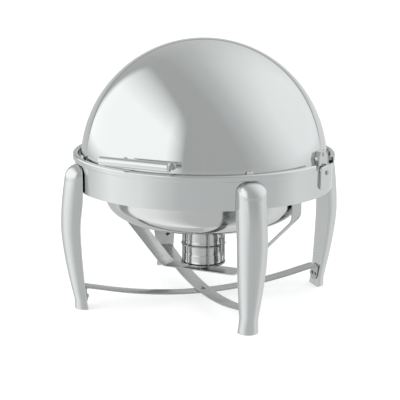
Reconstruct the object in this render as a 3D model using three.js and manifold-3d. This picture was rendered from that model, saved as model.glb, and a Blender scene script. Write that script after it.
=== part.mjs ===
// A round roll-top chafing dish: a deep polished ring on four bowed legs, a hemispherical cover that
// rolls back about a horizontal axis inside the ring, a water pan and a food pan on a support ring,
// and a strap that carries the fuel can under the pans.
// Millimetres, +Z up, the handle towards -Y, the cover's axis along X. The origin is on the table,
// under the middle of the object's box, so the ring's own axis stands a little behind it.

import * as THREE from 'three';
import * as BufferGeometryUtils from 'three/addons/utils/BufferGeometryUtils.js';
import Module from 'manifold-3d';

const wasm = await Module();
wasm.setup();

// ---------- driving dimensions ----------

const ringRadius = 240;
const ringTop = 274;
const ringHeight = 60;
const sheet = 2;
const gap = 0.4;
const coverRadius = 222;
const coverSheet = 1.2;
const pivotZ = 254;
const foodPanDepth = 65;
const waterPanRadius = 177.5;
const waterPanFloor = 145;
const legWidth = 54;
const bellyZ = 150;
const strapWidth = 44;
const canRadius = 37.2;
const canHeight = 58;

// ---------- sizes worked out from them ----------

const ringBottom = ringTop - ringHeight;
const wallOuter = ringRadius - 4;
const wallInner = wallOuter - sheet;
const lipInner = ringRadius - 9;
const lipBottom = ringTop - 11;
const handleReach = 264;
const handleZ = pivotZ + 40;
const handleTubeRadius = 8;
const ringAxisY = (handleReach + handleTubeRadius - ringRadius) / 2;
const legTop = lipBottom - 1;
const legBellyOuter = ringRadius * 1.125;
const legFootOuter = ringRadius + 7;
const legBellyInner = wallOuter + 5.5;
const legFootInner = ringRadius - 13;
const braceThickness = 3;
const braceWidth = 27;
const bandOuter = 208;
const bandTop = pivotZ + 9.5;
const strapThickness = 2.2;
const strapBottom = 54;
const pinRadius = 4;
const bushRadius = 8;
const holderBase = 64.5;
const cageRadius = canRadius + 2.3;
const cageTop = 127.5;
const wireRadius = 1.5;

// Azimuths are measured from the front (-Y) towards +X.
const legAzimuths = { front_right: 45, rear_right: 135, rear_left: 225, front_left: 315 };
const sides = { right: 1, left: -1 };

// ---------- materials ----------

function metal(color, roughness) {
  return new THREE.MeshStandardMaterial({ color, roughness, metalness: 1 });
}

const mirrorSteel = () => metal(0xd4d8d8, 0.08);
const polishedSteel = () => metal(0xc6caca, 0.16);
const brushedSteel = () => metal(0xb4b8b8, 0.32);
const screwSteel = () => metal(0x9da1a1, 0.28);
const canTin = () => metal(0xc9cccc, 0.2);
const nylon = () => new THREE.MeshStandardMaterial({ color: 0xe6e6e2, roughness: 0.45, metalness: 0 });
const blackPlastic = () => new THREE.MeshStandardMaterial({ color: 0x161616, roughness: 0.4, metalness: 0 });

// ---------- solids ----------

const toRadians = THREE.MathUtils.degToRad;

function signedVolume(positions, triangles) {
  const [a, b, c] = [new THREE.Vector3(), new THREE.Vector3(), new THREE.Vector3()];
  let total = 0;
  for (let i = 0; i < triangles.length; i += 3) {
    a.fromArray(positions, 3 * triangles[i]);
    b.fromArray(positions, 3 * triangles[i + 1]);
    c.fromArray(positions, 3 * triangles[i + 2]);
    total += a.dot(b.cross(c)) / 6;
  }
  return total;
}

// Merges shared vertices, drops the slivers at a lathe's axis and turns the faces outwards.
function solid(geometry) {
  const bare = geometry.clone();
  for (const name of Object.keys(bare.attributes)) {
    if (name !== 'position') bare.deleteAttribute(name);
  }
  const merged = BufferGeometryUtils.mergeVertices(bare, 1e-4);
  const positions = merged.attributes.position.array;
  const triangles = [];
  for (let i = 0; i < merged.index.count; i += 3) {
    const [p, q, r] = [0, 1, 2].map((k) => merged.index.array[i + k]);
    if (p !== q && q !== r && r !== p) triangles.push(p, q, r);
  }
  if (signedVolume(positions, triangles) < 0) triangles.reverse();
  return new wasm.Manifold(new wasm.Mesh({
    numProp: 3,
    vertProperties: new Float32Array(positions),
    triVerts: new Uint32Array(triangles),
  }));
}

function geometryOf(body) {
  const mesh = body.getMesh();
  const geometry = new THREE.BufferGeometry();
  geometry.setAttribute('position', new THREE.BufferAttribute(mesh.vertProperties, 3));
  geometry.setIndex(new THREE.BufferAttribute(mesh.triVerts, 1));
  geometry.computeVertexNormals();
  return geometry;
}

function cut(body, tools) {
  return tools.reduce((rest, tool) => rest.subtract(tool), body);
}

function join(bodies) {
  return bodies.reduce((whole, body) => whole.add(body));
}

function piece(name, body, material) {
  const mesh = new THREE.Mesh(geometryOf(body), material);
  mesh.name = name;
  return mesh;
}

const points = (pairs) => pairs.map(([x, y]) => new THREE.Vector2(x, y));

// A profile of (radius, height) pairs turned about the vertical axis.
function turned(profile, segments) {
  return new THREE.LatheGeometry(points(profile), segments).rotateX(Math.PI / 2);
}

function closedProfile(profile) {
  return [...profile, profile[0]];
}

// A round bar along X from x0 to x1.
function barX(radius, x0, x1, segments, y = 0, z = 0) {
  const bar = new THREE.CylinderGeometry(radius, radius, x1 - x0, segments).rotateZ(-Math.PI / 2);
  return bar.translate((x0 + x1) / 2, y, z);
}

function barZ(radius, z0, z1, segments, x = 0, y = 0) {
  const bar = new THREE.CylinderGeometry(radius, radius, z1 - z0, segments).rotateX(Math.PI / 2);
  return bar.translate(x, y, (z0 + z1) / 2);
}

// A profile of (radius, distance) pairs turned about an axis along +X.
function turnedX(profile, segments) {
  return new THREE.LatheGeometry(points(profile), segments).rotateZ(-Math.PI / 2);
}

function azimuthTurn(degrees) {
  return toRadians(degrees - 90);
}

// An outline of (x, z) pairs made into a plate of the given width, centred on y = 0.
function plateXZ(outline, width) {
  const plate = new THREE.ExtrudeGeometry(new THREE.Shape(points(outline)), {
    depth: width, bevelEnabled: false, curveSegments: 8,
  });
  return plate.rotateX(Math.PI / 2).translate(0, width / 2, 0);
}

// The outline of a strip of constant thickness along a centre line of (x, z) pairs.
function stripOutline(line, thickness) {
  const path = points(line);
  const offsets = path.map((point, i) => {
    const before = path[Math.max(i - 1, 0)];
    const after = path[Math.min(i + 1, path.length - 1)];
    const into = (i > 0 ? point.clone().sub(before) : after.clone().sub(point)).normalize();
    const out = (i < path.length - 1 ? after.clone().sub(point) : into.clone()).normalize();
    const along = into.clone().add(out).normalize();
    const normal = new THREE.Vector2(-along.y, along.x);
    return normal.multiplyScalar(thickness / 2 / along.dot(into));
  });
  const upper = path.map((point, i) => point.clone().add(offsets[i]));
  const lower = path.map((point, i) => point.clone().sub(offsets[i]));
  return [...upper, ...lower.reverse()].map((point) => [point.x, point.y]);
}

function arc(cx, cy, rx, ry, fromDegrees, toDegrees, steps) {
  return Array.from({ length: steps + 1 }, (_, i) => {
    const angle = toRadians(fromDegrees + (toDegrees - fromDegrees) * i / steps);
    return [cx + rx * Math.cos(angle), cy + ry * Math.sin(angle)];
  });
}

// A pan-head screw along +X whose head's outer face is at x = 0.
function screw(headRadius, headHeight, shankRadius, length) {
  const profile = [[0, 0], [headRadius * 0.7, 0], [headRadius, headHeight * 0.6],
    [headRadius, headHeight], [shankRadius, headHeight], [shankRadius, length], [0, length]];
  return solid(turnedX(profile, 8));
}

// ---------- outer frame ----------

const legScrewHeights = [239, 224];
const legScrewShank = 2.5;
const legScrewHead = 2.4;
const braceScrewShank = 2;
const braceScrewHead = 2;
const braceScrewZ = 23;
const braceScrewOffset = 7;
const restWidth = 11;
const rivetShank = 3;
const lipNotch = 43;

function ringBand() {
  const profile = closedProfile([
    [wallInner, ringBottom], [wallOuter, ringBottom], [wallOuter, lipBottom],
    [ringRadius, lipBottom + 2], [ringRadius, ringTop - 2], [ringRadius - 2, ringTop],
    [lipInner + 2, ringTop], [lipInner, ringTop - 2], [lipInner, lipBottom + 2], [wallInner, lipBottom],
  ]);
  const holes = [];
  for (const azimuth of Object.values(legAzimuths)) {
    for (const z of legScrewHeights) {
      const hole = barX(legScrewShank + gap, wallInner - 6, wallOuter + 6, 8, 0, z);
      holes.push(solid(hole.rotateZ(azimuthTurn(azimuth))));
    }
  }
  holes.push(solid(barX(pinRadius + gap, -ringRadius - 5, ringRadius + 5, 14, 0, pivotZ)));
  const notch = new THREE.BoxGeometry(2 * ringRadius + 10, 2 * lipNotch, ringTop - lipBottom + 2);
  holes.push(solid(notch.translate(0, 0, (ringTop + lipBottom + 2) / 2)));
  const band = cut(solid(turned(profile, 60)), holes);
  return piece('ring_band', band, mirrorSteel());
}

function legOuter(z) {
  const shoulder = legTop - 26;
  const below = Math.min(Math.max((bellyZ - z) / (bellyZ - 16), 0), 1);
  const above = Math.max((z - bellyZ) / (shoulder - bellyZ), 0);
  const bow = legBellyOuter - (legBellyOuter - legFootOuter) * below ** 1.5 - 7.5 * Math.min(above, 1) ** 2;
  if (z <= shoulder) return bow;
  const rise = (z - shoulder) / (legTop - shoulder + 0.3);
  return legInner(z) + (bow - legInner(z)) * Math.sqrt(1 - rise ** 2);
}

function legInner(z) {
  if (z < bellyZ) {
    return legBellyInner - (legBellyInner - legFootInner) * ((bellyZ - z) / bellyZ) ** 1.5;
  }
  const rise = Math.min((z - bellyZ) / (ringBottom - 4 - bellyZ), 1);
  const ease = rise * rise * (3 - 2 * rise);
  return legBellyInner - (legBellyInner - wallOuter - gap) * ease;
}

function legHalfWidth(z) {
  const ankle = 28;
  const swell = Math.min(Math.max((z - ankle) / (bellyZ + 18 - ankle), 0), 1);
  const flare = Math.max((ankle - z) / ankle, 0);
  const half = legWidth * (0.3125 + 0.1875 * Math.sin(swell * Math.PI / 2) + 0.035 * flare ** 2);
  const crown = Math.max((z - (legTop - 22)) / 22.6, 0);
  return half * Math.sqrt(1 - crown ** 3);
}

// A half-round leg with a flat back, bowed and tapered by moving the vertices of a straight one.
function legBlank() {
  const section = new THREE.Shape(points(arc(0, 0, 1, 1, -90, 90, 10)));
  const blank = new THREE.ExtrudeGeometry(section, { depth: 1, steps: 18, bevelEnabled: false });
  const position = blank.attributes.position;
  for (let i = 0; i < position.count; i += 1) {
    const z = legTop * (1 - (1 - position.getZ(i)) ** 1.5);
    const depth = legOuter(z) - legInner(z);
    position.setXYZ(i, legInner(z) + depth * position.getX(i), legHalfWidth(z) * position.getY(i), z);
  }
  return blank;
}

function leg(place) {
  const holes = [];
  for (const z of legScrewHeights) {
    holes.push(solid(barX(legScrewShank + gap, wallInner, wallOuter + 14, 8, 0, z)));
  }
  const back = legInner(braceScrewZ);
  for (const side of [-1, 1]) {
    const y = side * braceScrewOffset;
    holes.push(solid(barX(braceScrewShank + gap, back - 10, back + 9, 8, y, braceScrewZ)));
  }
  return piece(`leg_${place}`, cut(solid(legBlank()), holes), mirrorSteel());
}

function legScrews(place) {
  return legScrewHeights.map((z, i) => {
    const body = screw(5, legScrewHead, legScrewShank, legScrewHead + 14.5);
    const one = piece(`leg_screw_${place}_${i + 1}`, body, screwSteel());
    one.position.set(wallInner - gap - legScrewHead, 0, z);
    return one;
  });
}

function braceScrews(place) {
  return Object.entries(sides).map(([side, sign]) => {
    const body = screw(3.8, braceScrewHead, braceScrewShank, 12);
    const one = piece(`brace_screw_${place}_${side}`, body, screwSteel());
    const x = braceTabX(braceScrewZ) - braceThickness / 2 - 2 * gap - braceScrewHead;
    one.position.set(x, sign * braceScrewOffset, braceScrewZ);
    return one;
  });
}

// Nylon pads that centre the cover in the ring. The front pair has a ledge that the closed cover rests on.
function coverRest(place) {
  const outer = wallInner - 0.6;
  const underLip = lipInner - 2 * gap;
  const inner = coverRadius + 2.5;
  const ledge = coverRadius - 5;
  const [bottom, top] = [pivotZ - 8, ringTop + 3];
  const foot = place.startsWith('front')
    ? [[ledge, bottom], [ledge, pivotZ - 0.5], [inner, pivotZ - 0.5]]
    : [[inner, bottom]];
  const outline = [[outer, bottom], ...foot, [inner, top], [underLip, top], [underLip, lipBottom - 1],
    [outer, lipBottom - 1]];
  return piece(`cover_rest_${place}`, solid(plateXZ(outline, restWidth)), nylon());
}

function legStation([place, azimuth]) {
  const station = new THREE.Group();
  station.rotation.z = azimuthTurn(azimuth);
  station.add(leg(place), ...legScrews(place), ...braceScrews(place), coverRest(place));
  return station;
}

// ---------- cross braces ----------

const tabBottom = 12;
const tabTop = 41;

function braceTabX(z) {
  const lean = (legInner(tabTop) - legInner(tabBottom)) / (tabTop - tabBottom);
  return legInner(tabBottom) - gap - braceThickness / 2 + lean * (z - tabBottom);
}

// Half of a brace's centre line: up the tab on the leg's back, then down in a shallow sag.
function braceHalf(middleZ) {
  const end = braceTabX(tabTop) - 5;
  const sag = Array.from({ length: 8 }, (_, i) => {
    const x = end * (1 - i / 8);
    return [x, middleZ + (tabTop - middleZ) * (x / end) ** 2];
  });
  return [[braceTabX(tabBottom), tabBottom], [braceTabX(tabTop - 4), tabTop - 4], ...sag];
}

function brace(name, middleZ, azimuth) {
  const right = braceHalf(middleZ);
  const left = right.map(([x, z]) => [-x, z]).reverse();
  const bar = solid(plateXZ(stripOutline([...right, [0, middleZ], ...left], braceThickness), braceWidth));
  const holes = [solid(barZ(rivetShank + gap, 0, tabTop, 12))];
  const tabX = braceTabX(braceScrewZ);
  for (const [end, y] of [[-1, -1], [-1, 1], [1, -1], [1, 1]]) {
    const hole = barX(braceScrewShank + gap, tabX - 5, tabX + 5, 8, y * braceScrewOffset, braceScrewZ);
    holes.push(solid(end > 0 ? hole : hole.rotateZ(Math.PI)));
  }
  const one = piece(name, cut(bar, holes), brushedSteel());
  one.rotation.z = azimuthTurn(azimuth);
  return one;
}

const lowerBraceZ = 10.5;
const upperBraceZ = lowerBraceZ + braceThickness + gap;

function braceRivet() {
  const bottom = lowerBraceZ - braceThickness / 2 - gap;
  const top = upperBraceZ + braceThickness / 2 + gap;
  const profile = [[0, bottom - 2.5], [4, bottom - 2.5], [5.5, bottom - 1], [5.5, bottom],
    [rivetShank, bottom], [rivetShank, top], [5.5, top], [5.5, top + 1], [4, top + 2.5], [0, top + 2.5]];
  return piece('brace_rivet', solid(turned(profile, 14)), screwSteel());
}

// ---------- pivots ----------

const hubInner = coverRadius + 0.4;
const hubOuter = hubInner + 6.4;
const rivetZ = pivotZ + 32;
const hubRivetShank = 2.5;
const strapTopX = bandOuter - sheet - 2.6;

// A plate outside the ring below each notch. A blind hole in its back holds the pin's end.
function pivotPlate(side, sign) {
  const inner = wallOuter + gap;
  const outer = ringRadius - 0.2;
  const halfAngle = 6;
  const outline = [...arc(0, 0, outer, outer, -halfAngle, halfAngle, 8),
    ...arc(0, 0, inner, inner, halfAngle, -halfAngle, 8)];
  const [bottom, top] = [ringBottom + 13, lipBottom + 3];
  const plate = new THREE.ExtrudeGeometry(new THREE.Shape(points(outline)), {
    depth: top - bottom, bevelEnabled: false,
  }).translate(0, 0, bottom);
  const hole = solid(barX(pinRadius + gap, wallInner, wallOuter + 2.4, 14, 0, pivotZ));
  const one = piece(`pivot_plate_${side}`, cut(solid(plate), [hole]), mirrorSteel());
  one.rotation.z = sign > 0 ? 0 : Math.PI;
  return one;
}

function pivotPin(side, sign) {
  const pin = solid(barX(pinRadius, strapTopX - 11, wallOuter + 2, 14, 0, pivotZ));
  return mirrored(piece(`pivot_pin_${side}`, pin, screwSteel()), sign);
}

function pivotBush(side, sign) {
  const [x0, x1] = [bandOuter + gap, wallInner - 1];
  const bore = pinRadius + gap;
  const profile = closedProfile([[bore, x0], [bushRadius, x0], [bushRadius, x1], [bore, x1]]);
  const bush = solid(turnedX(profile, 20).translate(0, 0, pivotZ));
  return mirrored(piece(`pivot_bush_${side}`, bush, nylon()), sign);
}

function pivotNut(side, sign) {
  const x1 = strapTopX - strapThickness / 2 - gap;
  const nut = solid(barX(7.5, x1 - 6.5, x1, 6, 0, pivotZ));
  const bore = solid(barX(pinRadius + gap, x1 - 10, x1 + 4, 14, 0, pivotZ));
  return mirrored(piece(`pivot_nut_${side}`, cut(nut, [bore]), screwSteel()), sign);
}

// Turns a right-hand piece half round the ring's axis to make the left-hand one.
function mirrored(mesh, sign) {
  mesh.rotation.z = sign > 0 ? 0 : Math.PI;
  return mesh;
}

// ---------- pans and their support ----------

function panSupportRing() {
  const inner = bandOuter - sheet;
  const bottom = pivotZ - 16;
  const profile = closedProfile([
    [inner, bottom], [bandOuter, bottom], [bandOuter, bandTop], [inner, bandTop],
  ]);
  const hole = solid(barX(pinRadius + gap, -bandOuter - 5, bandOuter + 5, 14, 0, pivotZ));
  return piece('pan_support_ring', cut(solid(turned(profile, 48)), [hole]), brushedSteel());
}

const waterPanSheet = 1.2;
const foodPanSheet = 1;

// A dished pan: flat floor, rounded corner, straight wall and a flat flange.
function pan(name, wall, floorZ, cornerX, cornerZ, flangeRadius, flangeZ, thickness, material) {
  const inside = wall - thickness;
  const cornerStart = wall - cornerX;
  const outerCorner = arc(cornerStart, floorZ + cornerZ, cornerX, cornerZ, -90, 0, 6);
  const [innerX, innerZ] = [cornerX - thickness, cornerZ - thickness];
  const innerCorner = arc(cornerStart, floorZ + cornerZ, innerX, innerZ, 0, -90, 6);
  const profile = [[0, floorZ], ...outerCorner, [wall, flangeZ], [flangeRadius, flangeZ],
    [flangeRadius, flangeZ + thickness], [inside, flangeZ + thickness], ...innerCorner,
    [0, floorZ + thickness]];
  return piece(name, solid(turned(profile, 36)), material);
}

function waterPan() {
  return pan('water_pan', waterPanRadius, waterPanFloor, 79.5, 45, bandOuter + 1.5, bandTop + gap,
    waterPanSheet, mirrorSteel());
}

function foodPan() {
  const flangeZ = bandTop + gap + waterPanSheet + gap;
  const floorZ = flangeZ + foodPanSheet - foodPanDepth;
  return pan('food_pan', waterPanRadius - 5.5, floorZ, 24, 24, bandOuter - 2, flangeZ,
    foodPanSheet, polishedSteel());
}

// ---------- fuel strap and fuel holder ----------

const strapSideX = waterPanRadius + 3.5;
const strapKneeZ = 166;
const strapToeX = 74;
const holderSheet = 1.5;
const rivetHeadHeight = 1.5;

function fuelStrap() {
  const right = [[strapTopX, bandTop - 3], [strapTopX, pivotZ - 15], [strapSideX, ringBottom + 1],
    [strapSideX, strapKneeZ], [strapToeX, strapBottom]];
  const left = right.map(([x, z]) => [-x, z]).reverse();
  const strap = solid(plateXZ(stripOutline([...right, ...left], strapThickness), strapWidth));
  const holes = [
    solid(barX(pinRadius + gap, -bandOuter - 5, bandOuter + 5, 14, 0, pivotZ)),
    solid(barZ(rivetShank + gap, strapBottom - 9, strapBottom + 9, 12)),
  ];
  return piece('fuel_strap', cut(strap, holes), brushedSteel());
}

function holderSpacer() {
  const bottom = strapBottom + strapThickness / 2 + gap;
  const top = holderBase - gap;
  const bore = rivetShank + gap;
  const profile = closedProfile([[bore, bottom], [11, bottom], [11, top], [bore, top]]);
  return piece('holder_spacer', solid(turned(profile, 20)), brushedSteel());
}

function holderRivet() {
  const bottom = strapBottom - strapThickness / 2 - gap;
  const top = holderBase + holderSheet + gap;
  const profile = [[0, bottom - 1.5], [5, bottom - 1.5], [5.5, bottom], [rivetShank, bottom],
    [rivetShank, top], [5.5, top], [5, top + rivetHeadHeight], [0, top + rivetHeadHeight]];
  return piece('holder_rivet', solid(turned(profile, 14)), screwSteel());
}

const postAzimuth = 73;
const postRadius = cageRadius + 7;
const sleeveBottom = 92;
const sleeveTop = 118;
const snufferWireRadius = 1.6;

function polar(radius, azimuth) {
  const angle = azimuthTurn(azimuth);
  return [radius * Math.cos(angle), radius * Math.sin(angle)];
}

// A wire cage: a base disc, six upright wires and three wire hoops, welded into one piece.
function fuelHolder() {
  const hoop = (z) => solid(new THREE.TorusGeometry(cageRadius, wireRadius, 5, 24).translate(0, 0, z));
  const wires = Array.from({ length: 6 }, (_, i) => {
    const [x, y] = polar(cageRadius, 39 + 60 * i);
    return solid(barZ(wireRadius * 0.9, holderBase + 0.5, cageTop, 6, x, y));
  });
  const base = solid(barZ(cageRadius, holderBase, holderBase + holderSheet, 24));
  const [x, y] = polar(postRadius, postAzimuth);
  const [webX, webY] = polar(cageRadius + 2.5, postAzimuth);
  const web = new THREE.BoxGeometry(7, 2, 10).rotateZ(azimuthTurn(postAzimuth));
  const sleeve = solid(barZ(3.6, sleeveBottom, sleeveTop, 14, x, y));
  const webs = [96, 113].map((z) => solid(web.clone().translate(webX, webY, z)));
  const bores = [
    solid(barZ(rivetShank + gap, holderBase - 5, holderBase + 5, 12)),
    solid(barZ(snufferWireRadius + 2 * gap, sleeveBottom - 7, sleeveTop + 7, 12, x, y)),
  ];
  const hoops = [holderBase + 2, 102, cageTop].map(hoop);
  return piece('fuel_holder', cut(join([base, ...hoops, ...wires, ...webs, sleeve]), bores), screwSteel());
}

const canBottom = holderBase + holderSheet + gap + rivetHeadHeight + gap;
const canMouthRadius = 17;
const gelDepth = 12;

// A fuel can with a rolled seam at each end and a round mouth over the gel.
function fuelCan() {
  const top = canBottom + canHeight;
  const profile = [[0, canBottom + 1.5], [canRadius - 2, canBottom + 1.5], [canRadius - 2, canBottom],
    [canRadius, canBottom], [canRadius, canBottom + 3], [canRadius - 0.8, canBottom + 4],
    [canRadius - 0.8, top - 4], [canRadius, top - 3], [canRadius, top], [canRadius - 2, top],
    [canRadius - 2, top - 2], [canMouthRadius, top - 2], [canMouthRadius, top - 2 - gelDepth],
    [0, top - 2 - gelDepth]];
  return piece('fuel_can', solid(turned(profile, 24)), canTin());
}

// ---------- snuffer ----------

const snufferZ = 130.2;
const snufferLidHeight = 3.2;
const snufferArmZ = snufferZ + snufferLidHeight + gap + snufferWireRadius;
const snufferGripAzimuth = -65;
const snufferReach = 60;
const snufferDrop = 12;

function snufferLid() {
  const top = snufferZ + snufferLidHeight;
  const profile = [[0, top - 1.2], [30, top - 1.2], [33, snufferZ], [34.5, snufferZ], [31, top], [0, top]];
  return piece('snuffer_lid', solid(turned(profile, 24)), polishedSteel());
}

// The wire that carries the lid: a post in the holder's sleeve, an arm over the lid, and the handle.
function snufferWire() {
  const armZ = snufferArmZ;
  const [postX, postY] = polar(postRadius, postAzimuth);
  const [edgeX, edgeY] = polar(snufferReach - snufferDrop, snufferGripAzimuth);
  const [endX, endY] = polar(snufferReach, snufferGripAzimuth);
  const route = [
    [postX, postY, sleeveBottom - 6], [postX, postY, armZ - 4], [postX * 0.9, postY * 0.9, armZ],
    [0, 0, armZ], [edgeX, edgeY, armZ], [endX, endY, armZ - snufferDrop],
  ].map(([x, y, z]) => new THREE.Vector3(x, y, z));
  const path = new THREE.CurvePath();
  for (let i = 1; i < route.length; i += 1) path.add(new THREE.LineCurve3(route[i - 1], route[i]));
  const smooth = new THREE.CatmullRomCurve3(path.getSpacedPoints(26), false, 'centripetal');
  const section = new THREE.Shape(points(arc(0, 0, snufferWireRadius, snufferWireRadius, 0, 315, 7)));
  const wire = new THREE.ExtrudeGeometry(section, { steps: 28, extrudePath: smooth, bevelEnabled: false });
  return piece('snuffer_wire', solid(wire), screwSteel());
}

function snufferGrip() {
  const profile = [[0, 0], [2.6, 0.6], [3.2, 4], [2.8, 9], [0, 9.8]];
  const grip = new THREE.LatheGeometry(points(profile), 12);
  const end = new THREE.Vector3(...polar(snufferReach, snufferGripAzimuth), snufferArmZ - snufferDrop);
  const direction = new THREE.Vector3(...polar(snufferDrop, snufferGripAzimuth), -snufferDrop).normalize();
  grip.applyQuaternion(new THREE.Quaternion().setFromUnitVectors(new THREE.Vector3(0, 1, 0), direction));
  const start = end.addScaledVector(direction, snufferWireRadius);
  grip.translate(start.x, start.y, start.z);
  return piece('snuffer_grip', solid(grip), blackPlastic());
}

// ---------- roll-top cover ----------

const handlePostX = 54;
const handleHalfLength = 65;
const handleScrewShank = 2.2;
const handleScrewHead = { radius: 4.4, height: 2.4 };

// Turns something made along +Z at the cover's middle to point at one handle post's joint with the tube.
function toPost(sign) {
  const direction = new THREE.Vector3(sign * handlePostX, -handleReach, handleZ - pivotZ).normalize();
  const turn = new THREE.Quaternion().setFromUnitVectors(new THREE.Vector3(0, 0, 1), direction);
  return new THREE.Matrix4().makeTranslation(0, 0, pivotZ).multiply(
    new THREE.Matrix4().makeRotationFromQuaternion(turn));
}

const handleDistance = Math.hypot(handlePostX, handleReach, handleZ - pivotZ);

// A bar that points away from the cover's middle, at one handle post, from distance d0 to d1.
function outwardBar(radius, d0, d1, segments, sign) {
  return barZ(radius, d0, d1, segments).applyMatrix4(toPost(sign));
}

function coverBall(radius) {
  return solid(new THREE.SphereGeometry(radius, 60, 40).translate(0, 0, pivotZ));
}

function domeCover() {
  const outer = arc(0, pivotZ, coverRadius, coverRadius, 0, 90, 12);
  const inner = arc(0, pivotZ, coverRadius - coverSheet, coverRadius - coverSheet, 90, 0, 12);
  const shell = solid(turned(closedProfile([...outer, ...inner]), 44));
  const holes = [solid(barX(bushRadius + 1.5, -coverRadius - 9, coverRadius + 9, 20, 0, pivotZ))];
  holes.push(solid(barX(hubRivetShank + gap, -coverRadius - 9, coverRadius + 9, 10, 0, rivetZ)));
  for (const sign of Object.values(sides)) {
    holes.push(solid(outwardBar(handleScrewShank + gap, coverRadius - 12, coverRadius + 12, 10, sign)));
  }
  return piece('dome_cover', cut(shell, holes), mirrorSteel());
}

// A cast lug riveted to the cover's side that turns on the pivot bush. Its back follows the cover.
function coverHub(side, sign) {
  const half = 20;
  const lug = new THREE.Shape(points([
    ...arc(0, pivotZ, half, half, -180, 0, 14), [half, rivetZ - 4], [11, rivetZ + 6], [-11, rivetZ + 6],
    [-half, rivetZ - 4],
  ]));
  const blank = new THREE.ExtrudeGeometry(lug, { depth: 12, bevelEnabled: false });
  blank.rotateX(Math.PI / 2).rotateZ(Math.PI / 2).translate(hubOuter - 12, 0, 0);
  const tools = [
    coverBall(hubInner),
    solid(barX(bushRadius + gap, hubInner - 16, hubOuter + 5, 20, 0, pivotZ)),
    solid(barX(hubRivetShank + gap, hubInner - 16, hubOuter + 5, 10, 0, rivetZ)),
  ];
  return mirrored(piece(`cover_hub_${side}`, cut(solid(blank), tools), polishedSteel()), sign);
}

function hubRivet(side, sign) {
  const headX = hubOuter + gap;
  const inside = Math.sqrt((coverRadius - coverSheet) ** 2 - (rivetZ - pivotZ) ** 2) - 1.2;
  const profile = [[0, inside - 1.8], [3.4, inside - 1.8], [4.4, inside], [hubRivetShank, inside],
    [hubRivetShank, headX], [4.4, headX], [3.4, headX + 1], [0, headX + 1]];
  const rivet = solid(turnedX(profile, 12).translate(0, 0, rivetZ));
  return mirrored(piece(`hub_rivet_${side}`, rivet, screwSteel()), sign);
}

// A tube with closed, rounded ends, across the front of the cover.
function handleBar() {
  const half = handleHalfLength;
  const edge = 3;
  const rim = handleTubeRadius - edge;
  const profile = [[0, -half], ...arc(rim, -half + edge, edge, edge, -90, 0, 3),
    ...arc(rim, half - edge, edge, edge, 0, 90, 3), [0, half]];
  const bar = turnedX(profile, 18).translate(0, -handleReach, handleZ);
  return piece('handle_bar', solid(bar), mirrorSteel());
}

function handlePost(side, sign) {
  const post = solid(outwardBar(5, coverRadius - 4, handleDistance - 2, 14, sign));
  const foot = solid(outwardBar(7, coverRadius - 6, coverRadius + 2.5, 16, sign));
  const clear = handleTubeRadius + gap;
  const around = turnedX([[0, -90], [clear, -90], [clear, 90], [0, 90]], 18);
  const tube = solid(around.translate(0, -handleReach, handleZ));
  const bore = solid(outwardBar(handleScrewShank + gap, coverRadius - 14, coverRadius + 14, 10, sign));
  const body = cut(join([post, foot]), [coverBall(coverRadius + gap), tube, bore]);
  return piece(`handle_post_${side}`, body, polishedSteel());
}

function handleScrew(side, sign) {
  const { radius, height } = handleScrewHead;
  const seat = coverRadius - coverSheet - 1.5;
  const [head, end] = [seat - height, seat - height + 16];
  const profile = [[0, head], [radius - 1.2, head], [radius, head + 1], [radius, seat],
    [handleScrewShank, seat], [handleScrewShank, end], [0, end]];
  const body = turned(profile, 12).applyMatrix4(toPost(sign));
  return piece(`handle_screw_${side}`, solid(body), screwSteel());
}

// ---------- the whole object ----------

const chafer = new THREE.Group();
chafer.position.y = ringAxisY;
chafer.add(ringBand(), ...Object.entries(legAzimuths).map(legStation));
chafer.add(brace('brace_lower', lowerBraceZ, legAzimuths.front_left));
chafer.add(brace('brace_upper', upperBraceZ, legAzimuths.front_right), braceRivet());
for (const [side, sign] of Object.entries(sides)) {
  chafer.add(pivotPlate(side, sign), pivotPin(side, sign), pivotBush(side, sign), pivotNut(side, sign));
  chafer.add(coverHub(side, sign), hubRivet(side, sign), handlePost(side, sign), handleScrew(side, sign));
}
chafer.add(panSupportRing(), waterPan(), foodPan(), fuelStrap());
chafer.add(holderSpacer(), holderRivet(), fuelHolder(), fuelCan());
chafer.add(snufferLid(), snufferWire(), snufferGrip());
chafer.add(domeCover(), handleBar());

const object = new THREE.Group();
object.add(chafer);

export default object;
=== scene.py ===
"""Looks of a round roll-top chafing dish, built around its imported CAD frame.

Metres, +Z up, the handle towards -Y. Places and overall sizes come from the frame, and the finer
sizes repeat the part's own.
"""
import math

import bmesh
import bpy
from mathutils import Matrix, Vector


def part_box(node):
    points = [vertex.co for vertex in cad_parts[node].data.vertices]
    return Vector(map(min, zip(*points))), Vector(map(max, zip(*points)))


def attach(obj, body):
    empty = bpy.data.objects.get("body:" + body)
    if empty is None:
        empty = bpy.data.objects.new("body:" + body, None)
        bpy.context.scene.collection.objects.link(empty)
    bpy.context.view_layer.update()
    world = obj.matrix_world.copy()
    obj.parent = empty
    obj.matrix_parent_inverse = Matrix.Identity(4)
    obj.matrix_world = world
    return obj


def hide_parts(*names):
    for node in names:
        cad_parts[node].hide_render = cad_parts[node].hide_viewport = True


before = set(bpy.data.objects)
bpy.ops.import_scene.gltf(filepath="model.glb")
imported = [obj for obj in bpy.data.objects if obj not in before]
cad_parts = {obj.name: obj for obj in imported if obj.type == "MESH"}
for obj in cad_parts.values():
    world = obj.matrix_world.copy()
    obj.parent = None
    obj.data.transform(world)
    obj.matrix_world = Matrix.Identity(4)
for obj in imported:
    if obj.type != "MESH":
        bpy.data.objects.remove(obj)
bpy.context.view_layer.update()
scene = bpy.context.scene

# ---------- sizes from the frame ----------

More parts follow.
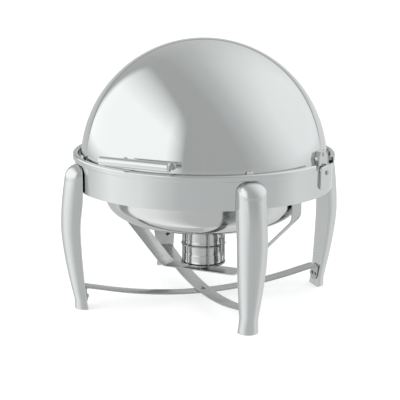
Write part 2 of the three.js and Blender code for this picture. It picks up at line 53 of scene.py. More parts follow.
ring_low, ring_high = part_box("ring_band")
RING_R = (ring_high.x - ring_low.x) / 2
RING_TOP = ring_high.z
RING_BOTTOM = ring_low.z
AXIS_Y = (ring_high.y + ring_low.y) / 2
cover_low, cover_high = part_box("dome_cover")
PIVOT_Z = cover_low.z
COVER_R = cover_high.z - cover_low.z
LEG_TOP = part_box("leg_front_right")[1].z
MM = 0.001
WALL_OUT = RING_R - 4 * MM
WALL_IN = WALL_OUT - 2 * MM
LIP_IN = RING_R - 9 * MM
LIP_BOTTOM = RING_TOP - 11 * MM
LEGS = {"front_right": 45, "rear_right": 135, "rear_left": 225, "front_left": 315}
SIDES = {"right": 1, "left": -1}
GAP = 0.4 * MM


# ---------- material nodes ----------

def new_material(name, color, roughness, metallic):
    material = bpy.data.materials.new(name)
    material.use_nodes = True
    shader = material.node_tree.nodes["Principled BSDF"]
    shader.inputs["Base Color"].default_value = (*color, 1)
    shader.inputs["Roughness"].default_value = roughness
    shader.inputs["Metallic"].default_value = metallic
    return material, material.node_tree, shader


def add(tree, kind, **inputs):
    node = tree.nodes.new(kind)
    for key, value in inputs.items():
        node.inputs[key.replace("_", " ")].default_value = value
    return node


def object_coordinates(tree, stretch=(1, 1, 1)):
    coordinates = tree.nodes.new("ShaderNodeTexCoord")
    mapping = add(tree, "ShaderNodeMapping", Scale=stretch)
    tree.links.new(coordinates.outputs["Object"], mapping.inputs["Vector"])
    return mapping.outputs["Vector"]


def noise(tree, vector, scale, detail=3.0, rough=0.55):
    node = add(tree, "ShaderNodeTexNoise", Scale=scale, Detail=detail, Roughness=rough)
    tree.links.new(vector, node.inputs["Vector"])
    return node.outputs["Fac"]


def spread(tree, value, low, high, start=0.3, end=0.7):
    """Maps values from start to end onto the range low to high, and holds them there outside it."""
    node = tree.nodes.new("ShaderNodeMapRange")
    for key, number in zip(("From Min", "From Max", "To Min", "To Max"), (start, end, low, high)):
        node.inputs[key].default_value = number
    tree.links.new(value, node.inputs["Value"])
    return node.outputs["Result"]


def calc(tree, operation, *values):
    """A Math node on sockets and plain numbers."""
    node = tree.nodes.new("ShaderNodeMath")
    node.operation = operation
    for socket, value in zip(node.inputs, values):
        if isinstance(value, (int, float)):
            socket.default_value = value
        else:
            tree.links.new(value, socket)
    return node.outputs["Value"]


def multiply(tree, a, b):
    return calc(tree, "MULTIPLY", a, b)


def maximum(tree, a, b):
    return calc(tree, "MAXIMUM", a, b)


def tint(tree, shader, value, dark, light):
    mix = tree.nodes.new("ShaderNodeMix")
    mix.data_type = "RGBA"
    mix.inputs["A"].default_value = (*dark, 1)
    mix.inputs["B"].default_value = (*light, 1)
    tree.links.new(value, mix.inputs["Factor"])
    tree.links.new(mix.outputs["Result"], shader.inputs["Base Color"])


def bump(tree, shader, heights):
    """Stacks height patterns, each as (value, strength, depth in metres)."""
    previous = None
    for value, strength, distance in heights:
        node = add(tree, "ShaderNodeBump", Strength=strength, Distance=distance)
        tree.links.new(value, node.inputs["Height"])
        if previous is not None:
            tree.links.new(previous, node.inputs["Normal"])
        previous = node.outputs["Normal"]
    tree.links.new(previous, shader.inputs["Normal"])


def edge_wear(tree, value):
    """1 along convex edges, 0 on flat faces, broken up by a pattern."""
    geometry = tree.nodes.new("ShaderNodeNewGeometry")
    edge = spread(tree, geometry.outputs["Pointiness"], 0.0, 1.0, 0.52, 0.58)
    return multiply(tree, edge, value)


def polished_metal(name, color, roughness, wave, grain=(1, 1, 1), grain_depth=0.02):
    """Polished steel: faint waviness, a fine grain along one direction, smudges and dulled edges."""
    material, tree, shader = new_material(name, color, roughness, 1.0)
    place = object_coordinates(tree)
    lines = object_coordinates(tree, grain)
    smudge = noise(tree, place, 9.0, 4.0, 0.6)
    haze = noise(tree, place, 42.0, 5.0, 0.65)
    fine = noise(tree, lines, 900.0, 2.0, 0.5)
    worn = edge_wear(tree, spread(tree, haze, 0.2, 1.0))
    rough = spread(tree, smudge, roughness * 0.75, roughness * 1.5)
    rough = maximum(tree, rough, multiply(tree, worn, roughness * 3.2))
    rough = maximum(tree, rough, spread(tree, haze, roughness * 0.6, roughness * 1.7, 0.35, 0.85))
    tree.links.new(rough, shader.inputs["Roughness"])
    dark = tuple(c * 0.95 for c in color)
    light = tuple(min(c * 1.03, 1.0) for c in color)
    tint(tree, shader, smudge, dark, light)
    swell = noise(tree, place, 5.0, 1.0, 0.4)
    bump(tree, shader, [(swell, wave, 2.5 * MM), (fine, grain_depth, 0.05 * MM)])
    return material


def moulded_plastic(name, color, roughness):
    """Moulded plastic: a fine stipple and a slight change of shade."""
    material, tree, shader = new_material(name, color, roughness, 0.0)
    shader.inputs["Specular IOR Level"].default_value = 0.5
    place = object_coordinates(tree)
    stipple = noise(tree, place, 2600.0, 2.0, 0.5)
    cloud = noise(tree, place, 120.0, 4.0, 0.6)
    tint(tree, shader, cloud, tuple(c * 0.86 for c in color), tuple(min(c * 1.08, 1.0) for c in color))
    tree.links.new(spread(tree, cloud, roughness * 0.8, roughness * 1.25), shader.inputs["Roughness"])
    bump(tree, shader, [(stipple, 0.25, 0.08 * MM)])
    return material


STEEL = (0.655, 0.668, 0.665)
materials = {
    "mirror": polished_metal("mirror_steel", STEEL, 0.055, wave=0.10),
    "leg": polished_metal("leg_steel", STEEL, 0.15, wave=0.14, grain=(1, 1, 0.04), grain_depth=0.04),
    "pan": polished_metal("pan_steel", (0.66, 0.67, 0.665), 0.10, wave=0.12),
    "polished": polished_metal("polished_steel", (0.61, 0.62, 0.618), 0.13, wave=0.12),
    "strap": polished_metal("satin_strip_steel", (0.5, 0.508, 0.506), 0.24, wave=0.2, grain_depth=0.12),
    "wire": polished_metal("wire_steel", (0.42, 0.427, 0.425), 0.2, wave=0.1),
    "screw": polished_metal("screw_steel", (0.5, 0.506, 0.503), 0.2, wave=0.1),
    "tin": polished_metal("tin_plate", (0.62, 0.628, 0.625), 0.12, wave=0.25),
    "nylon": moulded_plastic("white_nylon", (0.68, 0.68, 0.66), 0.42),
    "black": moulded_plastic("black_plastic", (0.018, 0.018, 0.019), 0.38),
}


# ---------- mesh tools ----------

def make_piece(name, verts, faces, finish, body, nodes, sharp=38, matrix=None):
    """A piece that rides on a body and stands for the given CAD nodes. matrix puts it in its place."""
    mesh = bpy.data.meshes.new(name)
    mesh.from_pydata([tuple(v) for v in verts], [], faces)
    work = bmesh.new()
    work.from_mesh(mesh)
    bmesh.ops.remove_doubles(work, verts=work.verts, dist=1e-7)
    bmesh.ops.recalc_face_normals(work, faces=work.faces)
    if matrix is not None:
        bmesh.ops.transform(work, matrix=matrix, verts=work.verts)
    work.to_mesh(mesh)
    work.free()
    finish_piece(name, mesh, finish, body, nodes, sharp)


def finish_piece(name, mesh, finish, body, nodes, sharp=38):
    mesh.polygons.foreach_set("use_smooth", [True] * len(mesh.polygons))
    mesh.set_sharp_from_angle(angle=math.radians(sharp))
    mesh.materials.clear()
    mesh.materials.append(materials[finish])
    piece = bpy.data.objects.new(name, mesh)
    scene.collection.objects.link(piece)
    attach(piece, body)
    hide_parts(*nodes)


def merged(parts):
    """Several (verts, faces) shells as one."""
    verts, faces = [], []
    for part_verts, part_faces in parts:
        start = len(verts)
        verts += [Vector(v) for v in part_verts]
        faces += [tuple(i + start for i in face) for face in part_faces]
    return verts, faces


def moved(part, matrix):
    return [matrix @ Vector(v) for v in part[0]], part[1]


def arc(cx, cy, rx, ry, start, end, steps):
    turn = [math.radians(start + (end - start) * i / steps) for i in range(steps + 1)]
    return [(cx + rx * math.cos(a), cy + ry * math.sin(a)) for a in turn]


def rounded(outline, radii, steps=5):
    """A closed polygon with each corner replaced by an arc-like curve of the given radius."""
    count = len(outline)
    if not hasattr(radii, "__len__"):
        radii = [radii] * count
    result = []
    for i, (point, radius) in enumerate(zip(outline, radii)):
        if radius <= 0:
            result.append(point)
            continue
        here = Vector(point)
        before = Vector(outline[i - 1]) - here
        after = Vector(outline[(i + 1) % count]) - here
        angle = before.angle(after)
        reach = min(radius / math.tan(angle / 2), before.length * 0.49, after.length * 0.49)
        a, b = here + before.normalized() * reach, here + after.normalized() * reach
        for k in range(steps + 1):
            t = k / steps
            spot = a * (1 - t) ** 2 + here * 2 * t * (1 - t) + b * t ** 2
            result.append((spot.x, spot.y))
    return result


def lathe(profile, segments, closed=True):
    """A (radius, height) profile turned about Z. An open profile starts and ends on the axis."""
    verts, faces = [], []
    for radius, height in profile:
        for k in range(segments):
            a = 2 * math.pi * k / segments
            verts.append(Vector((radius * math.cos(a), radius * math.sin(a), height)))
    rows = len(profile)
    for i in range(rows if closed else rows - 1):
        j = (i + 1) % rows
        for k in range(segments):
            n = (k + 1) % segments
            faces.append((i * segments + k, i * segments + n, j * segments + n, j * segments + k))
    return cleaned(verts, faces)


def cleaned(verts, faces):
    """Joins vertices that fall together, such as a lathe's ring of vertices on its axis."""
    seen, index, kept = {}, [], []
    for vert in verts:
        key = tuple(round(c, 8) for c in vert)
        if key not in seen:
            seen[key] = len(kept)
            kept.append(vert)
        index.append(seen[key])
    result = []
    for face in faces:
        loop = [index[i] for i in face]
        loop = [v for i, v in enumerate(loop) if v != loop[i - 1]]
        if len(set(loop)) > 2:
            result.append(tuple(loop))
    return kept, result


def loft(rings, closed_ends=True):
    """Joins rings of equal length into a skin."""
    size = len(rings[0])
    verts = [v for ring in rings for v in ring]
    faces = []
    for i in range(len(rings) - 1):
        for k in range(size):
            n = (k + 1) % size
            faces.append((i * size + k, i * size + n, (i + 1) * size + n, (i + 1) * size + k))
    if closed_ends:
        faces.append(tuple(range(size)))
        faces.append(tuple(range((len(rings) - 1) * size, len(rings) * size)))
    return verts, faces


def tube(path, radius, sides, closed=False):
    """A round wire along a path of points, with softly rounded ends unless it is closed."""
    points = [Vector(p) for p in path]
    count = len(points)
    rings = []
    normal = None
    for i, point in enumerate(points):
        before = points[i - 1] if (closed or i > 0) else point
        after = points[(i + 1) % count] if (closed or i < count - 1) else point
        tangent = (after - before).normalized()
        if normal is None:
            normal = tangent.orthogonal().normalized()
        normal = (normal - tangent * normal.dot(tangent)).normalized()
        side = tangent.cross(normal)
        ring = []
        for k in range(sides):
            a = 2 * math.pi * k / sides
            ring.append(point + (normal * math.cos(a) + side * math.sin(a)) * radius)
        rings.append((ring, point, tangent))
    skin = [ring for ring, _, _ in rings]
    if closed:
        verts, faces = loft(skin + [skin[0]], closed_ends=False)
        return cleaned(verts, faces)
    caps = []
    for ring, point, tangent, sign in ((*rings[0], -1), (*rings[-1], 1)):
        cap = []
        for t in (0.35, 0.7, 0.92):
            scale = math.sqrt(1 - t * t)
            cap.append([point + (v - point) * scale + tangent * sign * radius * t * 0.6 for v in ring])
        caps.append(cap)
    skin = caps[0][::-1] + skin + caps[1]
    return loft(skin)


def smooth_path(points, radius, steps=6):
    """A polyline in 3-D with its corners rounded."""
    path = [Vector(points[0])]
    for i in range(1, len(points) - 1):
        here = Vector(points[i])
        before, after = Vector(points[i - 1]) - here, Vector(points[i + 1]) - here
        reach = min(radius, before.length * 0.49, after.length * 0.49)
        a, b = here + before.normalized() * reach, here + after.normalized() * reach
        for k in range(steps + 1):
            t = k / steps
            path.append(a * (1 - t) ** 2 + here * 2 * t * (1 - t) + b * t ** 2)
    path.append(Vector(points[-1]))
    return path


def strip(line, thickness, width, rim, cut=None):
    """A flat strip along (x, z) points, with rounded long edges, centred on y = 0.

    cut(along, total) may narrow the strip near its ends, as a share of its width."""
    points = [Vector((x, 0, z)) for x, z in line]
    lengths = [0.0]
    for a, b in zip(points, points[1:]):
        lengths.append(lengths[-1] + (b - a).length)
    section = rounded([(-width / 2, -thickness / 2), (width / 2, -thickness / 2),
                       (width / 2, thickness / 2), (-width / 2, thickness / 2)], rim, 3)
    rings = []
    for i, point in enumerate(points):
        before, after = points[max(i - 1, 0)], points[min(i + 1, len(points) - 1)]
        into = (point - before).normalized() if i > 0 else (after - point).normalized()
        out = (after - point).normalized() if i < len(points) - 1 else into
        along = (into + out).normalized()
        up = Vector((-along.z, 0, along.x)) / max(along.dot(into), 0.5)
        share = cut(lengths[i], lengths[-1]) if cut else 1.0
        rings.append([point + Vector((0, w * share, 0)) + up * h for w, h in section])
    return loft(rings)


def turn_to(azimuth):
    """Turns +X to the azimuth, measured from the front towards +X, about the ring's axis."""
    return Matrix.Translation((0, AXIS_Y, 0)) @ Matrix.Rotation(math.radians(azimuth - 90), 4, "Z")


def along_x(y, z):
    """Takes a shape turned about Z to one turned about +X, at the height z and the depth y."""
    return Matrix.Translation((0, y, z)) @ Matrix.Rotation(math.radians(90), 4, "Y")


def box_middle(node):
    low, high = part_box(node)
    return (low + high) / 2


def x_span(node):
    """A node's nearer and farther distance from the plane between the two sides."""
    low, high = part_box(node)
    return sorted((abs(low.x), abs(high.x)))


AT_AXIS = turn_to(90)


def notched(name, body, cutters):
    """A mesh of body with the cutters taken out of it. Each is (verts, faces)."""
    blanks = []
    for verts, faces in (body, *cutters):
        mesh = bpy.data.meshes.new(name)
        mesh.from_pydata([tuple(v) for v in verts], [], faces)
        work = bmesh.new()
        work.from_mesh(mesh)
        bmesh.ops.recalc_face_normals(work, faces=work.faces)
        work.to_mesh(mesh)
        work.free()
        blank = bpy.data.objects.new(name, mesh)
        scene.collection.objects.link(blank)
        blanks.append(blank)
    for cutter in blanks[1:]:
        cut = blanks[0].modifiers.new("notch", "BOOLEAN")
        cut.operation = "DIFFERENCE"
        cut.solver = "EXACT"
        cut.object = cutter
    result = bpy.data.meshes.new_from_object(blanks[0].evaluated_get(bpy.context.evaluated_depsgraph_get()))
    for blank in blanks:
        bpy.data.objects.remove(blank)
    result.name = name
    return result


# ---------- outer frame ----------

LIP_NOTCH = 43 * MM


def ring_band():
    half, low, high = LIP_NOTCH, LIP_BOTTOM - 0.3 * MM, RING_TOP + 0.01
    corners = [(-1, -half, low), (-1, half, low), (-1, half, high), (-1, -half, high)]
    notch = loft([[Vector(c) for c in corners], [Vector((1, y, z)) for _, y, z in corners]])
    profile = rounded(
        [(WALL_IN, RING_BOTTOM), (WALL_OUT, RING_BOTTOM), (WALL_OUT, LIP_BOTTOM), (RING_R, LIP_BOTTOM),
         (RING_R, RING_TOP), (LIP_IN, RING_TOP), (LIP_IN, LIP_BOTTOM), (WALL_IN, LIP_BOTTOM)],
        [0.8 * MM, 0.8 * MM, 0.7 * MM, 3.2 * MM, 3.4 * MM, 3.0 * MM, 2.0 * MM, 0.7 * MM], 7)
    mesh = notched("ring", lathe(profile, 192), [notch])
    mesh.transform(AT_AXIS)
    finish_piece("ring", mesh, "mirror", "frame", ["ring_band"])


LEG_WIDTH = 54 * MM
BELLY_Z = 150 * MM
BELLY_OUT = RING_R * 1.125
FOOT_OUT = RING_R + 7 * MM
BELLY_IN = WALL_OUT + 5.5 * MM
FOOT_IN = RING_R - 13 * MM


def clamped(value):
    return min(max(value, 0.0), 1.0)


def leg_inner(z):
    if z < BELLY_Z:
        return BELLY_IN - (BELLY_IN - FOOT_IN) * ((BELLY_Z - z) / BELLY_Z) ** 1.5
    rise = clamped((z - BELLY_Z) / (RING_BOTTOM - 4 * MM - BELLY_Z))
    return BELLY_IN - (BELLY_IN - WALL_OUT - GAP) * rise * rise * (3 - 2 * rise)


def leg_outer(z):
    shoulder = LEG_TOP - 26 * MM
    below = clamped((BELLY_Z - z) / (BELLY_Z - 16 * MM))
    above = clamped((z - BELLY_Z) / (shoulder - BELLY_Z))
    bow = BELLY_OUT - (BELLY_OUT - FOOT_OUT) * below ** 1.5 - 7.5 * MM * above ** 2
    if z <= shoulder:
        return bow
    rise = min((z - shoulder) / (LEG_TOP - shoulder + 0.3 * MM), 1.0)
    return leg_inner(z) + (bow - leg_inner(z)) * math.sqrt(1 - rise ** 2)


def leg_half_width(z):
    ankle = 28 * MM
    swell = clamped((z - ankle) / (BELLY_Z + 18 * MM - ankle))
    flare = max((ankle - z) / ankle, 0)
    half = LEG_WIDTH * (0.3125 + 0.1875 * math.sin(swell * math.pi / 2) + 0.035 * flare ** 2)
    crown = max((z - (LEG_TOP - 22 * MM)) / (22.6 * MM), 0)
    return half * math.sqrt(1 - min(crown, 1) ** 3)


def leg_section(z, inset=0.0):
    """A half-round front on a back plate that stands a little proud of it at each side."""
    half = leg_half_width(z) - inset
    back = leg_inner(z) + inset
    depth = leg_outer(z) - inset - back
    plate = min(1.3 * MM, depth * 0.4)
    step = min(0.8 * MM, half * 0.2)
    edge = min(0.35 * MM, plate * 0.3)
    front = arc(back + plate, 0, depth - plate, half - step, -90, 90, 30)
    side = [(back, half - edge), (back + edge, half), (back + plate - edge, half),
            (back + plate, half - edge)]
    outline = [(x, -y) for x, y in side] + front + side[::-1]
    return [Vector((x, y, z)) for x, y in outline]


def leg(place, azimuth):
    steps = 72
    heights = [LEG_TOP * (1 - (1 - i / steps) ** 1.6) for i in range(1, steps + 1)]
    rings = [leg_section(0, 1.4 * MM), leg_section(0.5 * MM, 0.4 * MM), leg_section(1.4 * MM)]
    rings[0] = [Vector((v.x, v.y, 0)) for v in rings[0]]
    rings += [leg_section(z) for z in heights if z > 2.5 * MM]
    verts, faces = loft(rings)
    make_piece(f"bowed_leg_{place}", verts, faces, "leg", "frame", [f"leg_{place}"], sharp=42,
               matrix=turn_to(azimuth))


def screw_rings(head_radius, head_height, shank_radius, length, recess):
    """Rings of a pan-head screw along +X whose head's outer face is at x = 0.

    recess is hex or cross, the shape of the hole in the head."""
    sides = 32

    def ring(x, radius):
        turns = [2 * math.pi * k / sides for k in range(sides)]
        spans = [radius(a) if callable(radius) else radius for a in turns]
        return [Vector((x, r * math.cos(a), r * math.sin(a))) for a, r in zip(turns, spans)]

    def hexagon(a):
        part = (a + math.pi / 6) % (math.pi / 3) - math.pi / 6
        return head_radius * 0.5 * math.cos(math.pi / 6) / math.cos(part)

    def cross(a):
        part = abs((a + math.pi / 4) % (math.pi / 2) - math.pi / 4)
        return head_radius * (0.58 if part < 0.21 else 0.24)

    hole = hexagon if recess == "hex" else cross
    crown = head_height * 0.22
    return [
        ring(head_height * 0.7, lambda a: hole(a) * 0.8), ring(head_height * 0.55, lambda a: hole(a) * 0.93),
        ring(crown * 0.4, hole), ring(crown * 0.15, lambda a: hole(a) * 1.06),
        ring(crown * 0.35, head_radius * 0.72), ring(crown * 1.2, head_radius * 0.88),
        ring(head_height * 0.6, head_radius * 0.98), ring(head_height * 0.8, head_radius),
        ring(head_height, head_radius * 0.99), ring(head_height, shank_radius), ring(length, shank_radius),
    ]


def leg_screws(place, azimuth):
    for i in (1, 2):
        node = f"leg_screw_{place}_{i}"
        z = box_middle(node).z
        head = 2.4 * MM
        verts, faces = loft(screw_rings(5 * MM, head, 2.5 * MM, head + 14.5 * MM, "hex"))
        place_at = turn_to(azimuth) @ Matrix.Translation((WALL_IN - GAP - head, 0, z))
        make_piece(f"leg_bolt_{place}_{i}", verts, faces, "screw", "frame", [node], matrix=place_at)


BRACE_THICKNESS = 3 * MM
BRACE_WIDTH = 27 * MM
LOWER_BRACE_Z = 10.5 * MM
UPPER_BRACE_Z = LOWER_BRACE_Z + BRACE_THICKNESS + GAP
TAB_BOTTOM = 12 * MM
TAB_TOP = 41 * MM
BRACE_SCREW_Z = 23 * MM


def tab_x(z):
    lean = (leg_inner(TAB_TOP) - leg_inner(TAB_BOTTOM)) / (TAB_TOP - TAB_BOTTOM)
    return leg_inner(TAB_BOTTOM) - GAP - BRACE_THICKNESS / 2 + lean * (z - TAB_BOTTOM)


def brace_screws(place, azimuth):
    for side, sign in SIDES.items():
        node = f"brace_screw_{place}_{side}"
        head = 2 * MM
        verts, faces = loft(screw_rings(3.8 * MM, head, 2 * MM, 12 * MM, "cross"))
        x = tab_x(BRACE_SCREW_Z) - BRACE_THICKNESS / 2 - 2 * GAP - head
        place_at = turn_to(azimuth) @ Matrix.Translation((x, sign * 7 * MM, BRACE_SCREW_Z))
        make_piece(f"brace_bolt_{place}_{side}", verts, faces, "screw", "frame", [node], matrix=place_at)


def prism(outline, width, edge):
    """A plate of (x, z) points, centred on y = 0, with softened rims."""
    corners = [Vector((x, 0, z)) for x, z in outline]
    middle = sum(corners, Vector()) / len(corners)
    rings = []
    for y, inset in ((-width / 2, edge), (-width / 2 + edge * 0.3, edge * 0.3), (-width / 2 + edge, 0),
                     (width / 2 - edge, 0), (width / 2 - edge * 0.3, edge * 0.3), (width / 2, edge)):
        shift = Vector((0, y, 0))
        rings.append([point + (middle - point).normalized() * inset + shift for point in corners])
    return loft(rings)


def cover_rest(place, azimuth):
    node = f"cover_rest_{place}"
    low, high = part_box(node)
    outer = WALL_IN - 0.6 * MM
    under_lip = LIP_IN - 2 * GAP
    inner = COVER_R + 2.5 * MM
    ledge = COVER_R - 5 * MM
    foot = [(inner, low.z)]
    if place.startswith("front"):
        foot = [(ledge, low.z), (ledge, PIVOT_Z - 0.5 * MM), (inner, PIVOT_Z - 0.5 * MM)]
    outline = [(outer, low.z), *foot, (inner, high.z), (under_lip, high.z), (under_lip, LIP_BOTTOM - MM),
               (outer, LIP_BOTTOM - MM)]
    outline = rounded(outline, 1.0 * MM, 4)
    verts, faces = prism(outline, 11 * MM, 0.5 * MM)
    make_piece(f"rest_pad_{place}", verts, faces, "nylon", "frame", [node], matrix=turn_to(azimuth))


# ---------- cross braces ----------

def flat_bend(points, radius):
    return [(p.x, p.z) for p in smooth_path([(x, 0, z) for x, z in points], radius, 8)]


def brace(node, name, middle_z, azimuth):
    end = tab_x(TAB_TOP) - 5 * MM
    sag = [(end * i / 24, middle_z + (TAB_TOP - middle_z) * (i / 24) ** 2) for i in range(24, -1, -1)]
    lower = [(tab_x(TAB_BOTTOM + 1.2 * MM * i), TAB_BOTTOM + 1.2 * MM * i) for i in range(12)]
    corner = flat_bend([lower[-1], (tab_x(TAB_TOP), TAB_TOP), sag[3]], 7 * MM)
    right = lower + corner[1:-1] + sag[3:]
    line = right + [(-x, z) for x, z in reversed(right[:-1])]
    reach = 13 * MM

    def rounded_ends(along, total):
        near = min(along, total - along)
        return math.sqrt(max(1 - (1 - near / reach) ** 2, 0.02)) if near < reach else 1.0

    verts, faces = strip(line, BRACE_THICKNESS, BRACE_WIDTH, 0.7 * MM, rounded_ends)
    make_piece(name, verts, faces, "strap", "frame", [node], matrix=turn_to(azimuth))


def domed_rivet(radius, shank, low, high, dome):
    """A rivet's (radius, height) profile with a domed head past each end."""
    turns = [math.pi / 2 * i / 8 for i in range(9)]
    head = [(abs(radius * math.cos(t)), dome * math.sin(t)) for t in turns]
    bottom = [(r, low - rise) for r, rise in reversed(head)]
    top = [(r, high + rise) for r, rise in head]
    return bottom + [(shank, low), (shank, high)] + top


def brace_rivet():
    low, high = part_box("brace_rivet")
    profile = domed_rivet(5.5 * MM, 3 * MM, low.z + 2.5 * MM, high.z - 2.5 * MM, 2.4 * MM)
    make_piece("cross_rivet", *lathe(profile, 40, False), "screw", "frame", ["brace_rivet"], matrix=AT_AXIS)


# ---------- pivots ----------

def pivot_plate(side, sign):
    low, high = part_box(f"pivot_plate_{side}")
    inner = WALL_OUT + GAP
    outer = RING_R - 0.3 * MM
    half = (high.y - low.y) / 2 - 0.3 * MM
    fillet, edge = 8 * MM, 0.7 * MM
    rings = []
    steps = 48
    for i in range(steps + 1):
        t = -math.cos(math.pi * i / steps)
        s = half * t
        into = max(abs(s) - (half - fillet), 0) / fillet
        drop = fillet * (1 - math.sqrt(max(1 - into ** 2, 0)))
        bottom, top = low.z + drop, high.z - drop
        face = outer if i not in (0, steps) else outer - edge
        a = s / outer
        section = [(inner, bottom), (outer - edge, bottom), (face, bottom + edge), (face, top - edge),
                   (outer - edge, top), (inner, top)]
        rings.append([Vector((r * math.cos(a), r * math.sin(a), z)) for r, z in section])
    verts, faces = loft(rings)
    make_piece(f"pivot_cheek_{side}", verts, faces, "mirror", "frame", [f"pivot_plate_{side}"],
               matrix=turn_to(90 * sign))


def turned_x(profile, segments, side_matrix, z, closed=True):
    """A (radius, distance) profile turned about +X at height z, then placed by side_matrix."""
    verts, faces = lathe(profile, segments, closed)
    return moved((verts, faces), side_matrix @ along_x(0, z))


def pivot_hardware(side, sign):
    matrix = turn_to(90 * sign)
    node = f"pivot_pin_{side}"
    x0, x1 = x_span(node)
    r = 4 * MM
    pin = [(0, x0), (r - 0.8 * MM, x0), (r, x0 + 0.8 * MM)]
    for i in range(9):
        thread = x0 + (1.2 + i) * MM
        pin += [(r, thread), (r - 0.35 * MM, thread + 0.5 * MM)]
    pin += [(r, x0 + 11 * MM), (r, x1 - 0.5 * MM), (r - 0.5 * MM, x1), (0, x1)]
    make_piece(f"pivot_stud_{side}", *turned_x(pin, 40, matrix, PIVOT_Z, False), "screw", "frame", [node])

    node = f"pivot_bush_{side}"
    x0, x1 = x_span(node)
    bore, outer = r + GAP, 8 * MM
    bush = rounded([(bore, x0), (outer, x0), (outer, x1), (bore, x1)], 0.5 * MM, 3)
    make_piece(f"pivot_sleeve_{side}", *turned_x(bush, 48, matrix, PIVOT_Z), "nylon", "frame", [node])

    node = f"pivot_nut_{side}"
    x0, x1 = x_span(node)
    rings = []
    count = 48
    for x, kind in ((x0, "bore"), (x0, "chamfer"), (x0 + 0.7 * MM, "hex"), (x1 - 0.7 * MM, "hex"),
                    (x1, "chamfer"), (x1, "bore")):
        ring = []
        for k in range(count):
            a = 2 * math.pi * k / count
            part = a % (math.pi / 3) - math.pi / 6
            flat = 7.5 * MM * math.cos(math.pi / 6)
            span = {"bore": bore, "chamfer": flat * 0.985, "hex": flat / math.cos(part)}[kind]
            ring.append(Vector((x, span * math.cos(a), PIVOT_Z + span * math.sin(a))))
        rings.append(ring)
    verts, faces = loft(rings + [rings[0]], closed_ends=False)
    make_piece(f"pivot_hex_nut_{side}", *moved(cleaned(verts, faces), matrix), "screw", "frame", [node])


# ---------- pans and their support ----------

def pan_support_ring():
    low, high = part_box("pan_support_ring")
    outer = (high.x - low.x) / 2
    profile = rounded([(outer - 2 * MM, low.z), (outer, low.z), (outer, high.z), (outer - 2 * MM, high.z)],
                      0.6 * MM, 4)
    make_piece("support_band", *lathe(profile, 144), "strap", "frame", ["pan_support_ring"], matrix=AT_AXIS)


def pan(name, node, wall, corner, thickness, finish):
    """A deep-drawn pan: flat floor, rounded corner, straight wall, a flange that ends in a rolled bead.

    It rides on the body that its node is named after."""
    low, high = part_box(node)
    flange = (high.x - low.x) / 2
    corner_x, corner_z = corner
    under = high.z - thickness
    start = wall - corner_x
    floor_rise = 0.5 * MM
    outer = arc(start, low.z + corner_z, corner_x, corner_z, -90, 0, 22)
    inner = arc(start, low.z + corner_z, corner_x - thickness, corner_z - thickness, 0, -90, 22)
    bend, bead = 3.5 * MM, 1.5 * MM
    out_bend = arc(wall + bend, under - bend, bend, bend, 180, 90, 6)
    roll = arc(flange - bead, high.z - bead, bead, bead, 90, -150, 10)
    in_bend = arc(wall + bend, under - bend, bend + thickness, bend + thickness, 90, 180, 6)
    top = [(flange - bead, high.z)]
    profile = [(0, low.z + floor_rise), (start * 0.9, low.z + floor_rise)] + outer + out_bend
    profile += [(flange - 3 * bead, under)] + roll[::-1] + top + in_bend + inner
    profile += [(start * 0.9, low.z + thickness + floor_rise), (0, low.z + thickness + floor_rise)]
    make_piece(name, *lathe(profile, 160, False), finish, node, [node], sharp=50, matrix=AT_AXIS)


# ---------- fuel strap and fuel holder ----------

STRAP_TOP_X = 203.4 * MM
STRAP_Z = 54 * MM


def fuel_strap():
    low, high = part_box("fuel_strap")
    knee_x = 181 * MM
    side = [(STRAP_TOP_X, high.z), (STRAP_TOP_X, PIVOT_Z - 15 * MM), (knee_x, RING_BOTTOM + MM),
            (knee_x, 166 * MM), (74 * MM, STRAP_Z)]
    line = side + [(-x, z) for x, z in reversed(side)]
    bent = flat_bend(line, 9 * MM)
    verts, faces = strip(bent, 2.2 * MM, high.y - low.y, 0.6 * MM)
    make_piece("carrier_strap", verts, faces, "strap", "frame", ["fuel_strap"], matrix=AT_AXIS)


def holder_mounting():
    low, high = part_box("holder_spacer")
    bore, outer = 3.4 * MM, (high.x - low.x) / 2
    profile = rounded([(bore, low.z), (outer, low.z), (outer, high.z), (bore, high.z)], 0.7 * MM, 4)
    make_piece("holder_collar", *lathe(profile, 56), "strap", "frame", ["holder_spacer"], matrix=AT_AXIS)
    low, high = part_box("holder_rivet")
    profile = domed_rivet(5.4 * MM, 3 * MM, low.z + 1.5 * MM, high.z - 1.5 * MM, 1.45 * MM)
    make_piece("holder_pop_rivet", *lathe(profile, 40, False), "screw", "frame", ["holder_rivet"],
               matrix=AT_AXIS)


HOLDER_LOW, HOLDER_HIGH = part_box("fuel_holder")
WIRE_R = 1.5 * MM
CAGE_R = (HOLDER_HIGH.y - HOLDER_LOW.y) / 2 - WIRE_R
CAGE_TOP = HOLDER_HIGH.z - WIRE_R
POST_AZIMUTH = 73
POST_R = 46.5 * MM


def polar(radius, azimuth, z):
    a = math.radians(azimuth - 90)
    return Vector((radius * math.cos(a), radius * math.sin(a), z))


